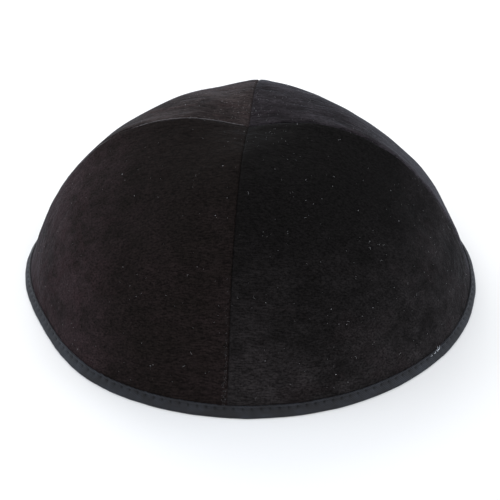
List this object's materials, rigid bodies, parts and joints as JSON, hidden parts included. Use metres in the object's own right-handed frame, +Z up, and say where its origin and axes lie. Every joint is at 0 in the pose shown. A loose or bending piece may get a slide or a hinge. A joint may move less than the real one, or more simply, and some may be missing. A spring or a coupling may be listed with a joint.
{
  "type": "kippah skullcap",
  "caption": "Low domed velvet skullcap of curved triangular panels meeting at a dimpled crown, its open rim wrapped in stitched tape.",
  "frame": {"origin": "centre of the rim, on the surface the cap rests on", "axes": "+X from the left side seam to the right one, -Y towards the front seam, +Z up through the crown"},
  "size_m": [0.1758, 0.1708, 0.0667],
  "materials": {
    "velvet": "short dense black pile with a faint brown cast",
    "tape": "smooth slate black woven tape, topstitched"
  },
  "bodies": {
    "root": {"panel_front_left": "velvet", "panel_front_right": "velvet", "panel_back_left": "velvet", "panel_back_right": "velvet", "rim_binding": "tape"}
  },
  "joints": []
}
